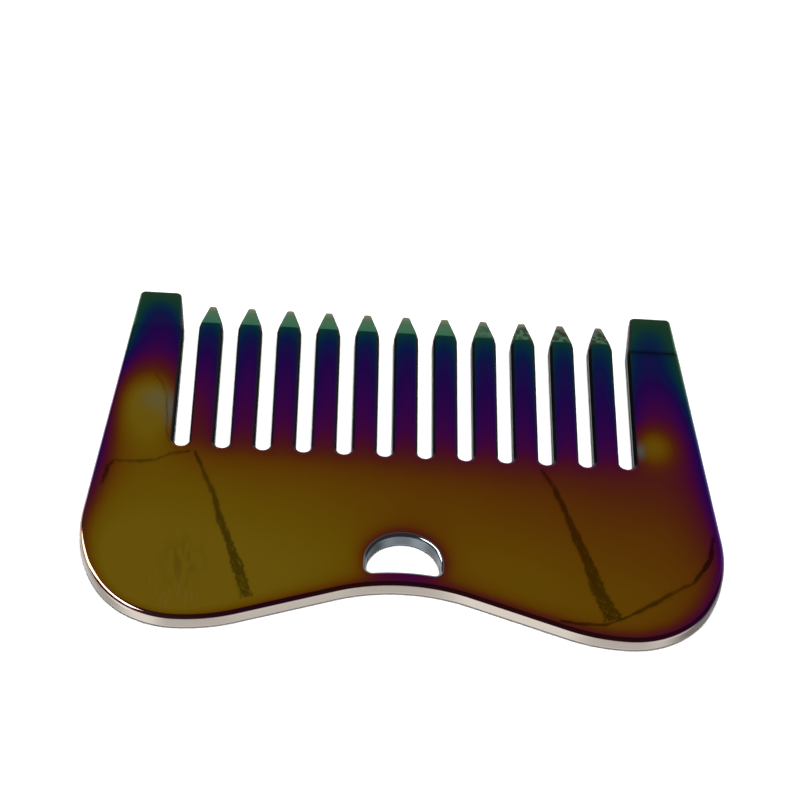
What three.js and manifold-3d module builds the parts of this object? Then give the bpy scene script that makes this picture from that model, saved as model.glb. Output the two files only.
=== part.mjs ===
// Beard comb: one polished metal plate with eleven pointed teeth between two broad guards,
// two round lobes below, an arched waist between them and a half-moon hole over the waist.
// Millimetres. The comb lies on its back: +X along its length, +Y towards the tooth tips, +Z up.
// The origin is at the middle of the box around the comb, on the face that it lies on.

import * as THREE from "three";
import { mergeVertices } from "three/addons/utils/BufferGeometryUtils.js";
import Module from "manifold-3d";

// Plate.
const plateThickness = 2.5;
const edgeBreak = 0.5; // the flat that breaks each edge, measured along the face

// Teeth and slots. Heights are measured from the floor of the slots.
const toothCount = 11;
const toothPitch = 6.25;
const slotWidth = 2.3;
const toothLength = 31.95;
const toothTipWidth = 1.05;
const toothTipLength = 5.65; // over which the sides of a tooth close in
const toothFacetLength = 4.85; // over which its two faces close in
const toothTipThickness = 0.7;

// Guards, the broad outer teeth.
const guardRootWidth = 11.2;
const guardLength = 34.5;
const guardLeanDegrees = 6.05; // of the outer side, in towards the tip
const guardTipLength = 8.7; // over which the inner side and the two faces close in
const guardInnerInset = 1.0;
const guardTipThickness = 1.4;
const guardCornerRadius = 0.9;

// Body below the slots.
const bodyDepth = 34.7; // slot floor to the lowest point of a lobe
const sideRadius = 22.7; // the bulge of the outer side
const cornerRadius = 13.9; // from the bulge round to the lowest point
const cornerOverhang = 0.55; // of the corner's full circle, past the outer side at the slot floor
const flankLength = 15; // the straight run between a lobe and the waist
const waistRadius = 28.9;
const waistHeight = 8.6; // waist above the lowest point of the lobes

// Half-moon hole.
const stripWidth = 2.6; // metal left between the hole and the waist
const holeWidth = 11;
const holeHeight = 7.15;
const holeCornerRadius = 0.9;

// Facets.
const arcStepDegrees = 7;
const slotFloorSteps = 10;

const plateColour = 0x5c4600;
const plateRoughness = 0.16;
const plateMetalness = 1;

const slotCount = toothCount + 1;
const slotX = (index) => (index - (slotCount - 1) / 2) * toothPitch;
const slotRadius = slotWidth / 2;
const outerSlotX = slotX(slotCount - 1);
const toothHalfWidth = (toothPitch - slotWidth) / 2;
const sideX = outerSlotX + slotRadius + guardRootWidth; // outer side at the slot floor
const lobeX = sideX + cornerOverhang - cornerRadius; // lowest point of the lobe
const waistY = waistHeight - bodyDepth;

const rightAngle = Math.PI / 2;
const lean = THREE.MathUtils.degToRad(guardLeanDegrees);
const arcStep = THREE.MathUtils.degToRad(arcStepDegrees);

// Points along an arc, both ends included.
function arcPoints(centre, radius, from, to, steps = Math.max(2, Math.ceil(Math.abs(to - from) / arcStep))) {
  return Array.from({ length: steps + 1 }, (_, step) => {
    const angle = THREE.MathUtils.lerp(from, to, step / steps);
    return new THREE.Vector2(
      centre.x + radius * Math.cos(angle),
      centre.y + radius * Math.sin(angle),
    );
  });
}

// The rounded corner between two straight edges that meet at a point.
function roundedCorner(before, corner, after, radius) {
  const arriving = corner.clone().sub(before).normalize();
  const leaving = after.clone().sub(corner).normalize();
  const turn = Math.atan2(arriving.cross(leaving), arriving.dot(leaving));
  const reach = radius * Math.tan(Math.abs(turn) / 2);
  const start = corner.clone().addScaledVector(arriving, -reach);
  const side = Math.sign(turn);
  const centre = new THREE.Vector2(-arriving.y, arriving.x).multiplyScalar(side * radius).add(start);
  const from = Math.atan2(start.y - centre.y, start.x - centre.x);
  return arcPoints(centre, radius, from, from + turn, Math.max(2, Math.round(Math.abs(turn) / (2 * arcStep))));
}

// The right half of the body's edge, from the middle of the waist out and up to the straight side.
// Each arc meets the next with a common tangent.
function bodyEdge() {
  // The waist arc, the straight flank and the lobe's inner arc run level, sloping and level again.
  // Their slope and the inner radius follow from the distance and the drop from waist to lobe.
  const slope = 2 * Math.atan(waistHeight / (flankLength + lobeX));
  const bothRadii = (lobeX - flankLength * Math.cos(slope)) / Math.sin(slope);
  const innerLobeRadius = bothRadii - waistRadius;
  const flankAngle = rightAngle - slope;

  const waistCentre = new THREE.Vector2(0, waistY - waistRadius);
  const innerCentre = new THREE.Vector2(lobeX, innerLobeRadius - bodyDepth);
  const cornerCentre = new THREE.Vector2(lobeX, cornerRadius - bodyDepth);

  // The bulge touches the leaning side from inside and holds the corner arc inside itself.
  const outward = new THREE.Vector2(Math.cos(lean), Math.sin(lean));
  const along = new THREE.Vector2(-outward.y, outward.x);
  const foot = outward.clone().multiplyScalar(sideX * Math.cos(lean) - sideRadius);
  const offset = foot.clone().sub(cornerCentre);
  const middle = -offset.dot(along);
  const reach = sideRadius - cornerRadius;
  const slack = middle * middle - offset.lengthSq() + reach * reach;
  const sideCentre = foot.clone().addScaledVector(along, middle + Math.sqrt(slack));
  const meeting = Math.atan2(cornerCentre.y - sideCentre.y, cornerCentre.x - sideCentre.x);

  return [
    ...arcPoints(waistCentre, waistRadius, rightAngle, flankAngle),
    ...arcPoints(innerCentre, innerLobeRadius, flankAngle - Math.PI, -rightAngle),
    ...arcPoints(cornerCentre, cornerRadius, -rightAngle, meeting).slice(1),
    ...arcPoints(sideCentre, sideRadius, meeting, lean).slice(1),
  ];
}

// The right guard from its outer side over the tip and down to the last slot.
function guardEdge(sideStart) {
  const innerX = outerSlotX + slotRadius;
  const outerTip = new THREE.Vector2(sideX - guardLength * Math.tan(lean), guardLength);
  const innerTip = new THREE.Vector2(innerX + guardInnerInset, guardLength);
  const innerBend = new THREE.Vector2(innerX, guardLength - guardTipLength);
  return [
    ...roundedCorner(sideStart, outerTip, innerTip, guardCornerRadius),
    ...roundedCorner(outerTip, innerTip, innerBend, guardCornerRadius),
    innerBend,
  ];
}

// A slot's floor, from its right wall round to its left wall.
function slotFloor(index) {
  const centre = new THREE.Vector2(slotX(index), slotRadius);
  return arcPoints(centre, slotRadius, 0, -Math.PI, slotFloorSteps);
}

// The tooth to the left of a slot, from its right shoulder over the tip to its left shoulder.
function toothTip(index) {
  const x = slotX(index) - toothPitch / 2;
  const shoulderY = toothLength - toothTipLength;
  return [
    new THREE.Vector2(x + toothHalfWidth, shoulderY),
    new THREE.Vector2(x + toothTipWidth / 2, toothLength),
    new THREE.Vector2(x - toothTipWidth / 2, toothLength),
    new THREE.Vector2(x - toothHalfWidth, shoulderY),
  ];
}

function mirrored(points) {
  return points.map((point) => new THREE.Vector2(-point.x, point.y)).reverse();
}

// The half-moon: a round top, upright sides and a floor that runs parallel to the waist.
function holeEdge() {
  const radius = holeWidth / 2;
  const floorY = waistY + stripWidth;
  const topCentre = new THREE.Vector2(0, floorY + holeHeight - radius);
  const floorRadius = waistRadius + stripWidth;
  const floorCentre = new THREE.Vector2(0, waistY - waistRadius);

  // The corner's arc touches the upright side and sits on the floor's arc.
  const cornerX = radius - holeCornerRadius;
  const cornerDistance = floorRadius + holeCornerRadius;
  const cornerY = floorCentre.y + Math.sqrt(cornerDistance ** 2 - cornerX ** 2);
  const corner = new THREE.Vector2(cornerX, cornerY);
  const touching = Math.atan2(corner.y - floorCentre.y, corner.x - floorCentre.x);
  const rightHalf = [
    ...arcPoints(floorCentre, floorRadius, rightAngle, touching, 3).slice(0, -1),
    ...arcPoints(corner, holeCornerRadius, touching - Math.PI, 0, 5),
    ...arcPoints(topCentre, radius, 0, rightAngle),
  ];
  return [...rightHalf, ...mirrored(rightHalf).slice(1, -1)];
}

function combOutline() {
  const body = bodyEdge();
  const guard = guardEdge(body.at(-1));
  const rightSide = [...body, ...guard];
  const teeth = [];
  for (let index = slotCount - 1; index >= 0; index -= 1) {
    teeth.push(...slotFloor(index));
    if (index > 0) {
      teeth.push(...toothTip(index));
    }
  }
  const outline = new THREE.Shape([...rightSide, ...teeth, ...mirrored(rightSide).slice(0, -1)]);
  outline.holes.push(new THREE.Path(holeEdge()));
  return outline;
}

const wasm = await Module();
wasm.setup();

function toSolid(geometry) {
  const bare = geometry.clone();
  bare.deleteAttribute("normal");
  bare.deleteAttribute("uv");
  const merged = mergeVertices(bare, 1e-5);
  return new wasm.Manifold(new wasm.Mesh({
    numProp: 3,
    vertProperties: new Float32Array(merged.attributes.position.array),
    triVerts: new Uint32Array(merged.index.array),
  }));
}

function toGeometry(solid) {
  const mesh = solid.getMesh();
  const geometry = new THREE.BufferGeometry();
  geometry.setAttribute("position", new THREE.BufferAttribute(mesh.vertProperties, 3));
  geometry.setIndex(new THREE.BufferAttribute(mesh.triVerts, 1));
  geometry.computeVertexNormals();
  return geometry;
}

// The plate, centred on Z = 0, with its edges broken on both faces.
function plateSolid() {
  const geometry = new THREE.ExtrudeGeometry(combOutline(), {
    depth: plateThickness - 2 * edgeBreak,
    bevelEnabled: true,
    bevelThickness: edgeBreak,
    bevelSize: edgeBreak,
    bevelOffset: -edgeBreak,
    bevelSegments: 1,
  });
  geometry.translate(0, 0, edgeBreak - plateThickness / 2);
  return toSolid(geometry);
}

// The metal above the facet that thins one face towards a tip, or below it on the back.
// It spans x from left to right, starts at the face and ends at half the tip's thickness.
function facetCut(left, right, length, facetLength, tipThickness, face) {
  const overrun = 2;
  const faceZ = plateThickness / 2;
  const drop = (faceZ - tipThickness / 2) / facetLength;
  const start = length - facetLength;
  const profile = new THREE.Shape([
    new THREE.Vector2(start - overrun, faceZ + drop * overrun),
    new THREE.Vector2(length + overrun, tipThickness / 2 - drop * overrun),
    new THREE.Vector2(length + overrun, faceZ + overrun),
    new THREE.Vector2(start - overrun, faceZ + overrun),
  ]);
  const geometry = new THREE.ExtrudeGeometry(profile, { depth: right - left, bevelEnabled: false });
  // The profile's x and y become the comb's Y and Z, and its depth becomes X.
  geometry.applyMatrix4(new THREE.Matrix4().makeBasis(
    new THREE.Vector3(0, 1, 0),
    new THREE.Vector3(0, 0, 1),
    new THREE.Vector3(1, 0, 0),
  ));
  geometry.translate(left, 0, 0);
  const cut = toSolid(geometry);
  return face === "front" ? cut : cut.mirror([0, 0, 1]);
}

function combSolid() {
  const guardOutside = sideX + sideRadius;
  const teethSpan = [-outerSlotX, outerSlotX, toothLength, toothFacetLength, toothTipThickness];
  const guardShape = [guardLength, guardTipLength, guardTipThickness];
  const spans = [
    teethSpan,
    [outerSlotX, guardOutside, ...guardShape],
    [-guardOutside, -outerSlotX, ...guardShape],
  ];
  let solid = plateSolid();
  for (const span of spans) {
    for (const face of ["front", "back"]) {
      solid = solid.subtract(facetCut(...span, face));
    }
  }
  return solid;
}

const comb = new THREE.Mesh(
  toGeometry(combSolid()),
  new THREE.MeshStandardMaterial({
    color: plateColour,
    roughness: plateRoughness,
    metalness: plateMetalness,
  }),
);
comb.name = "comb";
comb.position.set(0, (bodyDepth - Math.max(guardLength, toothLength)) / 2, plateThickness / 2);

const beardComb = new THREE.Group();
beardComb.name = "beard_comb";
beardComb.add(comb);

export default beardComb;
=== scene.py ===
"""A polished metal beard comb with a rainbow interference coating, on a pale studio floor.

The comb is one plate. Its edge is a rounded polygon carried along by an edge profile (a quarter
round, an upright wall and a second quarter round), and its two faces are height functions over
the plan. The coating's colour follows how much metal surrounds each place, as the thickness of a
deposited film does: full over the body, thinner towards every edge and thinnest at the tips.
"""

from __future__ import annotations

import logging
import math
from dataclasses import dataclass
from enum import Enum
from functools import partialmethod
from typing import Any

import bpy
import numpy as np
from mathutils import Matrix, Vector
from mathutils.geometry import delaunay_2d_cdt


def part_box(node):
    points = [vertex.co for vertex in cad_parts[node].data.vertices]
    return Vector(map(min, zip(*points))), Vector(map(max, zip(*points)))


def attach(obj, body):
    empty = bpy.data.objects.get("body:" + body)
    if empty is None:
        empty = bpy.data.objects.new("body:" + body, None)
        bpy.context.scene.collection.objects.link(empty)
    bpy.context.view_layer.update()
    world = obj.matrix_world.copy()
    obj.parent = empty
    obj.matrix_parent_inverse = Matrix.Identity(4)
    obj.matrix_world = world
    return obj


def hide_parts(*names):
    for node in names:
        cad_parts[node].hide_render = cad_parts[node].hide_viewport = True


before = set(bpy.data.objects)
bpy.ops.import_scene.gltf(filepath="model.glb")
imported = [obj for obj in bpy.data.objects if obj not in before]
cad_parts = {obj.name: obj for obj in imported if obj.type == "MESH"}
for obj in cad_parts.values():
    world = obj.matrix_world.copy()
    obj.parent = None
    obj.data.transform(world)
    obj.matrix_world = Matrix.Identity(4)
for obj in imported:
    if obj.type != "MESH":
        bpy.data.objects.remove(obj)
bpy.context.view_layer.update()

MM = 0.001
SMALLEST_GAP = 0.001
BLACK = (0.0, 0.0, 0.0)
WHITE = (1.0, 1.0, 1.0)
FACE_FLIP = np.array([1.0, 1.0, -1.0])
LOG = logging.getLogger("beard_comb")


# Plan geometry


@dataclass(frozen=True)
class Loop:
    """A closed edge in plan, in millimetres.

    Attributes:
        points: (n, 2) places along the edge, with metal on the left of the way round.
        normals: (n, 2) unit directions that point away from the metal.
    """

    points: np.ndarray
    normals: np.ndarray


def rounded_loop(corners: np.ndarray, radii: np.ndarray, arc_step: float, line_step: float) -> Loop:
    """Rounds each corner of a closed polygon and samples the result evenly.

    A corner that turns by t and has radius r starts its arc r * tan(t / 2) before the corner.
    Along the arc the heading h runs from the arriving to the leaving direction, the normal is
    (sin h, -cos h) and the place is centre + side * r * normal, where side is +1 for a left turn
    and -1 for a right turn. Straight runs between arcs are cut into equal steps.

    Args:
        corners: (n, 2) corners of the polygon, in millimetres.
        radii: (n,) radius of each corner.
        arc_step: largest turn between two samples of an arc, in radians.
        line_step: largest distance between two samples, in millimetres.

    Returns:
        The sampled loop, with neither doubled points nor a repeated first point.
    """
    arriving = corners - np.roll(corners, 1, axis=0)
    heading = np.arctan2(arriving[:, 1], arriving[:, 0])
    turn = np.roll(heading, -1) - heading
    turn = (turn + math.pi) % (2 * math.pi) - math.pi
    side = np.sign(turn)
    direction = np.stack([np.cos(heading), np.sin(heading)], axis=1)
    start = corners - direction * (radii * np.tan(np.abs(turn) / 2))[:, None]
    across = np.stack([np.sin(heading), -np.cos(heading)], axis=1)
    centre = start - across * (side * radii)[:, None]

    arc_cuts = np.maximum(np.abs(turn) / arc_step, np.abs(turn) * radii / line_step)
    arc_count = np.maximum(2, np.ceil(arc_cuts).astype(int) + 1)
    corner_of = np.repeat(np.arange(len(corners)), arc_count)
    first = np.repeat(np.cumsum(arc_count) - arc_count, arc_count)
    share = (np.arange(len(corner_of)) - first) / (arc_count[corner_of] - 1)
    angle = heading[corner_of] + turn[corner_of] * share
    normals = np.stack([np.sin(angle), -np.cos(angle)], axis=1)
    points = centre[corner_of] + normals * (side * radii)[corner_of, None]

    run = np.linalg.norm(np.roll(points, -1, axis=0) - points, axis=1)
    is_line = np.r_[corner_of[1:] != corner_of[:-1], True]
    pieces = np.where(is_line, np.maximum(1, np.ceil(run / line_step)), 1).astype(int)
    source = np.repeat(np.arange(len(points)), pieces)
    begin = np.repeat(np.cumsum(pieces) - pieces, pieces)
    along = ((np.arange(len(source)) - begin) / pieces[source])[:, None]
    following = np.roll(points, -1, axis=0)[source]
    points = points[source] * (1 - along) + following * along
    normals = normals[source]

    gap = np.linalg.norm(np.roll(points, -1, axis=0) - points, axis=1)
    keep = gap > SMALLEST_GAP
    return Loop(points[keep], normals[keep])


def smooth_share(value: np.ndarray, low: float, high: float) -> np.ndarray:
    """How far a value has gone from low to high, u^2 (3 - 2u) with u held between 0 and 1."""
    share = np.clip((value - low) / (high - low), 0, 1)
    return share**2 * (3 - 2 * share)


def mirrored(corners: list[tuple[float, float, float]]) -> list[tuple[float, float, float]]:
    """The same corners on the other side of X = 0, in the opposite order."""
    return [(-x, y, radius) for x, y, radius in reversed(corners)]


@dataclass(frozen=True)
class CombPlan:
    """The comb seen from its front, in millimetres, with the slot floors at Y = 0."""

    tooth_count: int = 11
    tooth_pitch: float = 6.25
    slot_width: float = 2.3
    tooth_length: float = 31.95
    tooth_tip_width: float = 1.05
    tooth_tip_length: float = 5.65
    tooth_shoulder_radius: float = 2.2
    tooth_tip_radius: float = 0.36
    guard_root_width: float = 11.2
    guard_length: float = 34.5
    guard_lean: float = math.radians(6.05)
    guard_tip_length: float = 8.7
    guard_inner_inset: float = 1.0
    guard_corner_radius: float = 0.9
    guard_bend_radius: float = 16.0
    body_depth: float = 34.7
    side_radius: float = 22.7
    corner_radius: float = 13.9
    corner_overhang: float = 0.55
    flank_length: float = 15.0
    waist_radius: float = 28.9
    waist_height: float = 8.6
    strip_width: float = 2.6
    hole_width: float = 11.0
    hole_height: float = 7.15
    hole_corner_radius: float = 0.9
    arc_step: float = math.radians(5)
    line_step: float = 0.4

    @property
    def outer_slot_x(self) -> float:
        """Middle of the last slot on the right."""
        return self.tooth_count * self.tooth_pitch / 2

    @property
    def guard_x(self) -> float:
        """Inner side of the right guard, which is the last slot's outer wall."""
        return self.outer_slot_x + self.slot_width / 2

    @property
    def side_x(self) -> float:
        """Outer side at the height of the slot floors."""
        return self.guard_x + self.guard_root_width

    @property
    def lobe_x(self) -> float:
        """Lowest point of the right lobe."""
        return self.side_x + self.corner_overhang - self.corner_radius

    @property
    def waist_y(self) -> float:
        """Top of the arched waist."""
        return self.waist_height - self.body_depth

    @property
    def flank_slope(self) -> float:
        """Slope s of the flank, with tan(s / 2) = waist height / (flank length + lobe x)."""
        return 2 * math.atan(self.waist_height / (self.flank_length + self.lobe_x))

    def body_corners(self) -> list[tuple[float, float, float]]:
        """Corners (x, y, radius) of the right half, from the flank round to the guard's side.

        The bulge of the side touches the leaning side from inside and holds the corner's circle
        inside itself, so the distance of their centres is the difference of their radii.

        Returns:
            The corners of the flank's foot, of the lobe's arc and of the side's bulge.
        """
        slope = self.flank_slope
        both_radii = (self.lobe_x - self.flank_length * math.cos(slope)) / math.sin(slope)
        inner_radius = both_radii - self.waist_radius
        flank_foot = self.lobe_x - inner_radius * math.tan(slope / 2)

        corner_centre = np.array([self.lobe_x, self.corner_radius - self.body_depth])
        outward = np.array([math.cos(self.guard_lean), math.sin(self.guard_lean)])
        along = np.array([-outward[1], outward[0]])
        foot = outward * (self.side_x * outward[0] - self.side_radius)
        offset = foot - corner_centre
        middle = -offset @ along
        reach = self.side_radius - self.corner_radius
        side_centre = foot + along * (middle + math.sqrt(middle**2 - offset @ offset + reach**2))
        to_corner = corner_centre - side_centre
        meeting = math.atan2(to_corner[1], to_corner[0])
        lower = self.arc_corner(corner_centre, self.corner_radius, -math.pi / 2, meeting)
        upper = self.arc_corner(side_centre, self.side_radius, meeting, self.guard_lean)
        return [(flank_foot, -self.body_depth, inner_radius), lower, upper]

    @staticmethod
    def arc_corner(centre: np.ndarray, radius: float, start: float, end: float) -> tuple[float, float, float]:
        """The corner at which the tangents at both ends of an arc meet, with its radius.

        Args:
            centre: the arc's centre.
            radius: its radius.
            start: direction of its first end from the centre, in radians.
            end: direction of its last end.

        Returns:
            The corner (x, y, radius).
        """
        reach = radius / math.cos((end - start) / 2)
        middle = (start + end) / 2
        return (centre[0] + reach * math.cos(middle), centre[1] + reach * math.sin(middle), radius)

    def guard_corners(self) -> list[tuple[float, float, float]]:
        """Corners of the right guard's tip, from the outer side to the last slot's wall.

        Returns:
            The corners (x, y, radius).
        """
        outer_x = self.side_x - self.guard_length * math.tan(self.guard_lean)
        bend_y = self.guard_length - self.guard_tip_length
        return [
            (outer_x, self.guard_length, self.guard_corner_radius),
            (self.guard_x + self.guard_inner_inset, self.guard_length, self.guard_corner_radius),
            (self.guard_x, bend_y, self.guard_bend_radius),
        ]

    def slot_corners(self, x: float) -> list[tuple[float, float, float]]:
        """Corners of one slot's round floor, from its right wall to its left wall."""
        radius = self.slot_width / 2
        return [(x + radius, 0.0, radius), (x - radius, 0.0, radius)]

    def tooth_corners(self, x: float) -> list[tuple[float, float, float]]:
        """Corners of one tooth's tip, from its right shoulder to its left shoulder.

        Args:
            x: the tooth's middle.

        Returns:
            The corners (x, y, radius).
        """
        half = (self.tooth_pitch - self.slot_width) / 2
        shoulder_y = self.tooth_length - self.tooth_tip_length
        right = [
            (x + half, shoulder_y, self.tooth_shoulder_radius),
            (x + self.tooth_tip_width / 2, self.tooth_length, self.tooth_tip_radius),
        ]
        return right + [(2 * x - corner_x, y, radius) for corner_x, y, radius in reversed(right)]

    def outer(self) -> Loop:
        """The comb's outer edge, anticlockwise.

        Returns:
            The edge, from the waist round by the right side.
        """
        right = self.body_corners() + self.guard_corners()
        apex_y = self.waist_y - self.waist_radius + self.waist_radius / math.cos(self.flank_slope)
        corners = [(0.0, apex_y, self.waist_radius)] + right
        for step in range(self.tooth_count + 1):
            x = self.outer_slot_x - step * self.tooth_pitch
            corners += self.slot_corners(x)
            if step < self.tooth_count:
                corners += self.tooth_corners(x - self.tooth_pitch / 2)
        table = np.array(corners + mirrored(right))
        return rounded_loop(table[:, :2], table[:, 2], self.arc_step, self.line_step)

    def hole(self) -> Loop:
        """The half-moon hole's edge, clockwise, its floor concentric with the waist.

        Returns:
            The edge.
        """
        half = self.hole_width / 2
        floor_radius = self.waist_radius + self.strip_width
        centre_y = self.waist_y - self.waist_radius
        slope = math.asin((half - self.hole_corner_radius) / (floor_radius + self.hole_corner_radius))
        apex_y = centre_y + floor_radius / math.cos(slope)
        top_y = self.waist_y + self.strip_width + self.hole_height
        left = [
            (-half, apex_y - half * math.tan(slope), self.hole_corner_radius),
            (-half, top_y, half),
        ]
        table = np.array([(0.0, apex_y, floor_radius)] + left + mirrored(left))
        return rounded_loop(table[:, :2], table[:, 2], self.arc_step, self.line_step)


# The plate in space


@dataclass(frozen=True)
class Coverage:
    """How much metal lies round each place of a plan, from 0 to 1.

    Attributes:
        origin: lowest (x, y) of the grid, in millimetres.
        cell: the grid's spacing.
        values: (rows, columns) share of metal, weighted by a Gaussian.
    """

    origin: np.ndarray
    cell: float
    values: np.ndarray

    @classmethod
    def of(cls, loops: list[Loop], radius: float, cell: float = 0.5, margin: float = 3.0) -> "Coverage":
        """Works the field out for some loops.

        A row of cells is inside the plan between the odd and the even crossings of its centre
        line with the loops. The inside is then blurred along rows and columns by the matrix
        exp(-(i - j)^2 / (2 r^2)), each row of it scaled to a sum of one.

        Args:
            loops: the plan's edges.
            radius: the Gaussian's standard deviation, in millimetres.
            cell: grid spacing, in millimetres.
            margin: width of the empty border round the plan, in radii.

        Returns:
            The field.
        """
        everything = np.concatenate([loop.points for loop in loops])
        low = everything.min(axis=0) - margin * radius
        high = everything.max(axis=0) + margin * radius
        columns, rows = np.ceil((high - low) / cell).astype(int)
        start = everything
        end = np.concatenate([np.roll(loop.points, -1, axis=0) for loop in loops])
        line_y = low[1] + (np.arange(rows) + 0.5) * cell
        crosses = (start[None, :, 1] > line_y[:, None]) != (end[None, :, 1] > line_y[:, None])
        row, edge = np.nonzero(crosses)
        rise = end[edge, 1] - start[edge, 1]
        x = start[edge, 0] + (line_y[row] - start[edge, 1]) * (end[edge, 0] - start[edge, 0]) / rise
        column = np.ceil((x - low[0]) / cell - 0.5).astype(int)
        flips = np.zeros((rows, columns), int)
        np.add.at(flips, (row, column), 1)
        inside = (np.cumsum(flips, axis=1) % 2).astype(float)

        def blur(count: int) -> np.ndarray:
            """The blurring matrix for one axis.

            Args:
                count: cells along the axis.

            Returns:
                (count, count) weights.
            """
            distance = (np.arange(count)[:, None] - np.arange(count)[None, :]) * cell
            weights = np.exp(-(distance**2) / (2 * radius**2))
            return weights / weights.sum(axis=1, keepdims=True)

        return cls(low, cell, blur(rows) @ inside @ blur(columns).T)

    def at(self, points: np.ndarray) -> np.ndarray:
        """The field at (n, 2) places, blended between the four nearest cells.

        Args:
            points: the places, in millimetres.

        Returns:
            (n,) shares of metal.
        """
        place = (points - self.origin) / self.cell - 0.5
        corner = np.floor(place).astype(int)
        share_x, share_y = (place - corner).T
        column, row = corner.T
        lower = self.values[row, column] * (1 - share_x) + self.values[row, column + 1] * share_x
        upper = self.values[row + 1, column] * (1 - share_x) + self.values[row + 1, column + 1] * share_x
        return lower * (1 - share_y) + upper * share_y


@dataclass(frozen=True)
class Facet:
    """A slope that thins both faces towards a tip.

    Attributes:
        start: Y at which the slope begins, in millimetres.
        drop: height lost per millimetre of Y.
        softness: half the length over which the slope sets in.
    """

    start: float
    drop: float
    softness: float

    def depth(self, y: np.ndarray) -> np.ndarray:
        """Height lost at y: nothing, then (u + s)^2 / 4s within s of the start, then u.

        Args:
            y: places, in millimetres.

        Returns:
            The heights, in millimetres, with s for softness and u for the way past the start.
        """
        run = y - self.start
        blend = np.clip(run + self.softness, 0, 2 * self.softness)
        return self.drop * (blend**2 / (4 * self.softness) + np.maximum(run - self.softness, 0))

    def slope(self, y: np.ndarray) -> np.ndarray:
        """Rate at which height is lost at y."""
        run = y - self.start
        return self.drop * np.clip((run + self.softness) / (2 * self.softness), 0, 1)


@dataclass
class MeshArrays:
    """A mesh as whole arrays, in plan millimetres, with one value of each field per vertex."""

    vertices: np.ndarray
    normals: np.ndarray
    edge_turn: np.ndarray
    shade: np.ndarray
    bare: np.ndarray
    faces: list[np.ndarray]


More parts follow.
